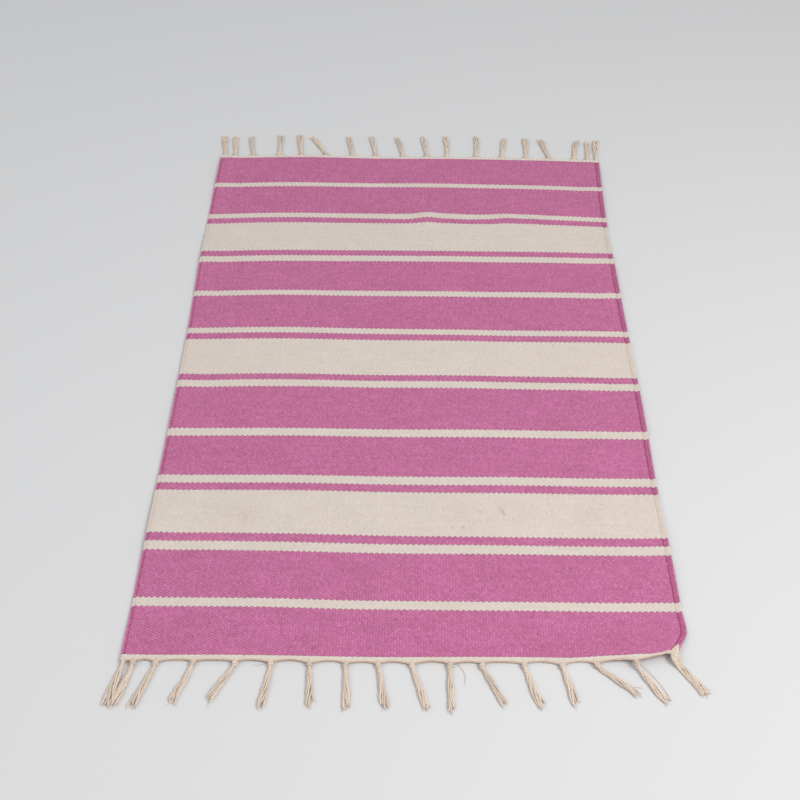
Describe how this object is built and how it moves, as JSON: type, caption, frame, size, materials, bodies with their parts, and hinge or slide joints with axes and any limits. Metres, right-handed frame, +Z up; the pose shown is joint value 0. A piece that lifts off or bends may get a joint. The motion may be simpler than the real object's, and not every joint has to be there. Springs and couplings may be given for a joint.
{
  "type": "bath mat",
  "caption": "Rectangular flat-woven cotton bath mat with pink and cream cross stripes and knotted fringes; folds flat across three lines and its tassels lift.",
  "frame": {"origin": "on the floor under the middle of the mat", "axes": "+X across the mat from selvedge to selvedge, +Y along it from the near fringe to the far fringe, +Z up"},
  "size_m": [0.6301, 1.0288, 0.0064],
  "materials": {
    "pink_weft": "matte pink cotton weft, slubby and ribbed",
    "cream_weft": "matte natural cream cotton weft, slubby and ribbed",
    "warp": "matte unbleached twisted cotton yarn"
  },
  "bodies": {
    "near_middle": {"cream_band_14_near_half": "cream_weft", "pink_band_15": "pink_weft", "cream_band_16": "cream_weft", "pink_band_17": "pink_weft", "cream_band_18": "cream_weft", "pink_band_19": "pink_weft", "cream_band_20": "cream_weft", "pink_band_21": "pink_weft", "cream_band_22": "cream_weft", "warp_near_middle": "warp"},
    "far_middle": {"cream_band_06": "cream_weft", "pink_band_07": "pink_weft", "cream_band_08": "cream_weft", "pink_band_09": "pink_weft", "cream_band_10": "cream_weft", "pink_band_11": "pink_weft", "cream_band_12": "cream_weft", "pink_band_13": "pink_weft", "cream_band_14_far_half": "cream_weft", "warp_far_middle": "warp"},
    "near_end": {"pink_band_23": "pink_weft", "cream_band_24": "cream_weft", "pink_band_25": "pink_weft", "cream_band_26": "cream_weft", "pink_band_27": "pink_weft", "warp_near_end": "warp"},
    "far_end": {"pink_band_01": "pink_weft", "cream_band_02": "cream_weft", "pink_band_03": "pink_weft", "cream_band_04": "cream_weft", "pink_band_05": "pink_weft", "warp_far_end": "warp"},
    "tassel_near_01": {"near_corner_tassels_01": "warp"},
    "tassel_near_02": {"near_tassel_02": "warp"},
    "tassel_near_03": {"near_tassel_03": "warp"},
    "tassel_near_04": {"near_tassel_04": "warp"},
    "tassel_near_05": {"near_tassel_05": "warp"},
    "tassel_near_06": {"near_tassel_06": "warp"},
    "tassel_near_07": {"near_tassel_07": "warp"},
    "tassel_near_08": {"near_tassel_08": "warp"},
    "tassel_near_09": {"near_tassel_09": "warp"},
    "tassel_near_10": {"near_tassel_10": "warp"},
    "tassel_near_11": {"near_tassel_11": "warp"},
    "tassel_near_12": {"near_tassel_12": "warp"},
    "tassel_near_13": {"near_tassel_13": "warp"},
    "tassel_near_14": {"near_corner_tassels_14": "warp"},
    "tassel_far_01": {"far_corner_tassels_01": "warp"},
    "tassel_far_02": {"far_tassel_02": "warp"},
    "tassel_far_03": {"far_tassel_03": "warp"},
    "tassel_far_04": {"far_tassel_04": "warp"},
    "tassel_far_05": {"far_tassel_05": "warp"},
    "tassel_far_06": {"far_tassel_06": "warp"},
    "tassel_far_07": {"far_tassel_07": "warp"},
    "tassel_far_08": {"far_tassel_08": "warp"},
    "tassel_far_09": {"far_tassel_09": "warp"},
    "tassel_far_10": {"far_tassel_10": "warp"},
    "tassel_far_11": {"far_tassel_11": "warp"},
    "tassel_far_12": {"far_tassel_12": "warp"},
    "tassel_far_13": {"far_tassel_13": "warp"},
    "tassel_far_14": {"far_corner_tassels_14": "warp"}
  },
  "joints": [
    {"name": "fold_middle", "type": "hinge", "parent": "near_middle", "child": "far_middle", "pos_m": [0, 0, 0.0185], "axis": [1, 0, 0], "range_deg": [0, 179.5]},
    {"name": "fold_near_end", "type": "hinge", "parent": "near_middle", "child": "near_end", "pos_m": [0, -0.29174, 0.0082], "axis": [-1, 0, 0], "range_deg": [0, 179.5]},
    {"name": "fold_far_end", "type": "hinge", "parent": "far_middle", "child": "far_end", "pos_m": [0, 0.29014, 0.0082], "axis": [1, 0, 0], "range_deg": [0, 179.5]},
    {"name": "lift_near_01", "type": "hinge", "parent": "near_end", "child": "tassel_near_01", "pos_m": [-0.282, -0.45615, 0.0053], "axis": [1, 0, 0], "range_deg": [-179, 0]},
    {"name": "lift_near_02", "type": "hinge", "parent": "near_end", "child": "tassel_near_02", "pos_m": [-0.224, -0.45615, 0.0053], "axis": [1, 0, 0], "range_deg": [-179, 0]},
    {"name": "lift_near_03", "type": "hinge", "parent": "near_end", "child": "tassel_near_03", "pos_m": [-0.179, -0.45615, 0.0053], "axis": [1, 0, 0], "range_deg": [-179, 0]},
    {"name": "lift_near_04", "type": "hinge", "parent": "near_end", "child": "tassel_near_04", "pos_m": [-0.141, -0.45615, 0.0053], "axis": [1, 0, 0], "range_deg": [-179, 0]},
    {"name": "lift_near_05", "type": "hinge", "parent": "near_end", "child": "tassel_near_05", "pos_m": [-0.1, -0.45615, 0.0053], "axis": [1, 0, 0], "range_deg": [-179, 0]},
    {"name": "lift_near_06", "type": "hinge", "parent": "near_end", "child": "tassel_near_06", "pos_m": [-0.061, -0.45615, 0.0053], "axis": [1, 0, 0], "range_deg": [-179, 0]},
    {"name": "lift_near_07", "type": "hinge", "parent": "near_end", "child": "tassel_near_07", "pos_m": [-0.0265, -0.45615, 0.0053], "axis": [1, 0, 0], "range_deg": [-179, 0]},
    {"name": "lift_near_08", "type": "hinge", "parent": "near_end", "child": "tassel_near_08", "pos_m": [0.0095, -0.45615, 0.0053], "axis": [1, 0, 0], "range_deg": [-179, 0]},
    {"name": "lift_near_09", "type": "hinge", "parent": "near_end", "child": "tassel_near_09", "pos_m": [0.05, -0.45615, 0.0053], "axis": [1, 0, 0], "range_deg": [-179, 0]},
    {"name": "lift_near_10", "type": "hinge", "parent": "near_end", "child": "tassel_near_10", "pos_m": [0.084, -0.45615, 0.0053], "axis": [1, 0, 0], "range_deg": [-179, 0]},
    {"name": "lift_near_11", "type": "hinge", "parent": "near_end", "child": "tassel_near_11", "pos_m": [0.129, -0.45615, 0.0053], "axis": [1, 0, 0], "range_deg": [-179, 0]},
    {"name": "lift_near_12", "type": "hinge", "parent": "near_end", "child": "tassel_near_12", "pos_m": [0.1695, -0.45615, 0.0053], "axis": [1, 0, 0], "range_deg": [-179, 0]},
    {"name": "lift_near_13", "type": "hinge", "parent": "near_end", "child": "tassel_near_13", "pos_m": [0.206, -0.45615, 0.0053], "axis": [1, 0, 0], "range_deg": [-179, 0]},
    {"name": "lift_near_14", "type": "hinge", "parent": "near_end", "child": "tassel_near_14", "pos_m": [0.2685, -0.45615, 0.0092], "axis": [1, 0, 0], "range_deg": [-179, 0]},
    {"name": "lift_far_01", "type": "hinge", "parent": "far_end", "child": "tassel_far_01", "pos_m": [-0.27125, 0.45615, 0.0053], "axis": [-1, 0, 0], "range_deg": [-179, 0]},
    {"name": "lift_far_02", "type": "hinge", "parent": "far_end", "child": "tassel_far_02", "pos_m": [-0.208, 0.45615, 0.0053], "axis": [-1, 0, 0], "range_deg": [-179, 0]},
    {"name": "lift_far_03", "type": "hinge", "parent": "far_end", "child": "tassel_far_03", "pos_m": [-0.173, 0.45615, 0.0053], "axis": [-1, 0, 0], "range_deg": [-179, 0]},
    {"name": "lift_far_04", "type": "hinge", "parent": "far_end", "child": "tassel_far_04", "pos_m": [-0.1335, 0.45615, 0.0053], "axis": [-1, 0, 0], "range_deg": [-179, 0]},
    {"name": "lift_far_05", "type": "hinge", "parent": "far_end", "child": "tassel_far_05", "pos_m": [-0.092, 0.45615, 0.0053], "axis": [-1, 0, 0], "range_deg": [-179, 0]},
    {"name": "lift_far_06", "type": "hinge", "parent": "far_end", "child": "tassel_far_06", "pos_m": [-0.055, 0.45615, 0.0053], "axis": [-1, 0, 0], "range_deg": [-179, 0]},
    {"name": "lift_far_07", "type": "hinge", "parent": "far_end", "child": "tassel_far_07", "pos_m": [-0.0115, 0.45615, 0.0053], "axis": [-1, 0, 0], "range_deg": [-179, 0]},
    {"name": "lift_far_08", "type": "hinge", "parent": "far_end", "child": "tassel_far_08", "pos_m": [0.0265, 0.45615, 0.0053], "axis": [-1, 0, 0], "range_deg": [-179, 0]},
    {"name": "lift_far_09", "type": "hinge", "parent": "far_end", "child": "tassel_far_09", "pos_m": [0.0585, 0.45615, 0.0053], "axis": [-1, 0, 0], "range_deg": [-179, 0]},
    {"name": "lift_far_10", "type": "hinge", "parent": "far_end", "child": "tassel_far_10", "pos_m": [0.1045, 0.45615, 0.0053], "axis": [-1, 0, 0], "range_deg": [-179, 0]},
    {"name": "lift_far_11", "type": "hinge", "parent": "far_end", "child": "tassel_far_11", "pos_m": [0.1455, 0.45615, 0.0053], "axis": [-1, 0, 0], "range_deg": [-179, 0]},
    {"name": "lift_far_12", "type": "hinge", "parent": "far_end", "child": "tassel_far_12", "pos_m": [0.1835, 0.45615, 0.0053], "axis": [-1, 0, 0], "range_deg": [-179, 0]},
    {"name": "lift_far_13", "type": "hinge", "parent": "far_end", "child": "tassel_far_13", "pos_m": [0.22, 0.45615, 0.0053], "axis": [-1, 0, 0], "range_deg": [-179, 0]},
    {"name": "lift_far_14", "type": "hinge", "parent": "far_end", "child": "tassel_far_14", "pos_m": [0.27675, 0.45615, 0.0053], "axis": [-1, 0, 0], "range_deg": [-179, 0]}
  ]
}
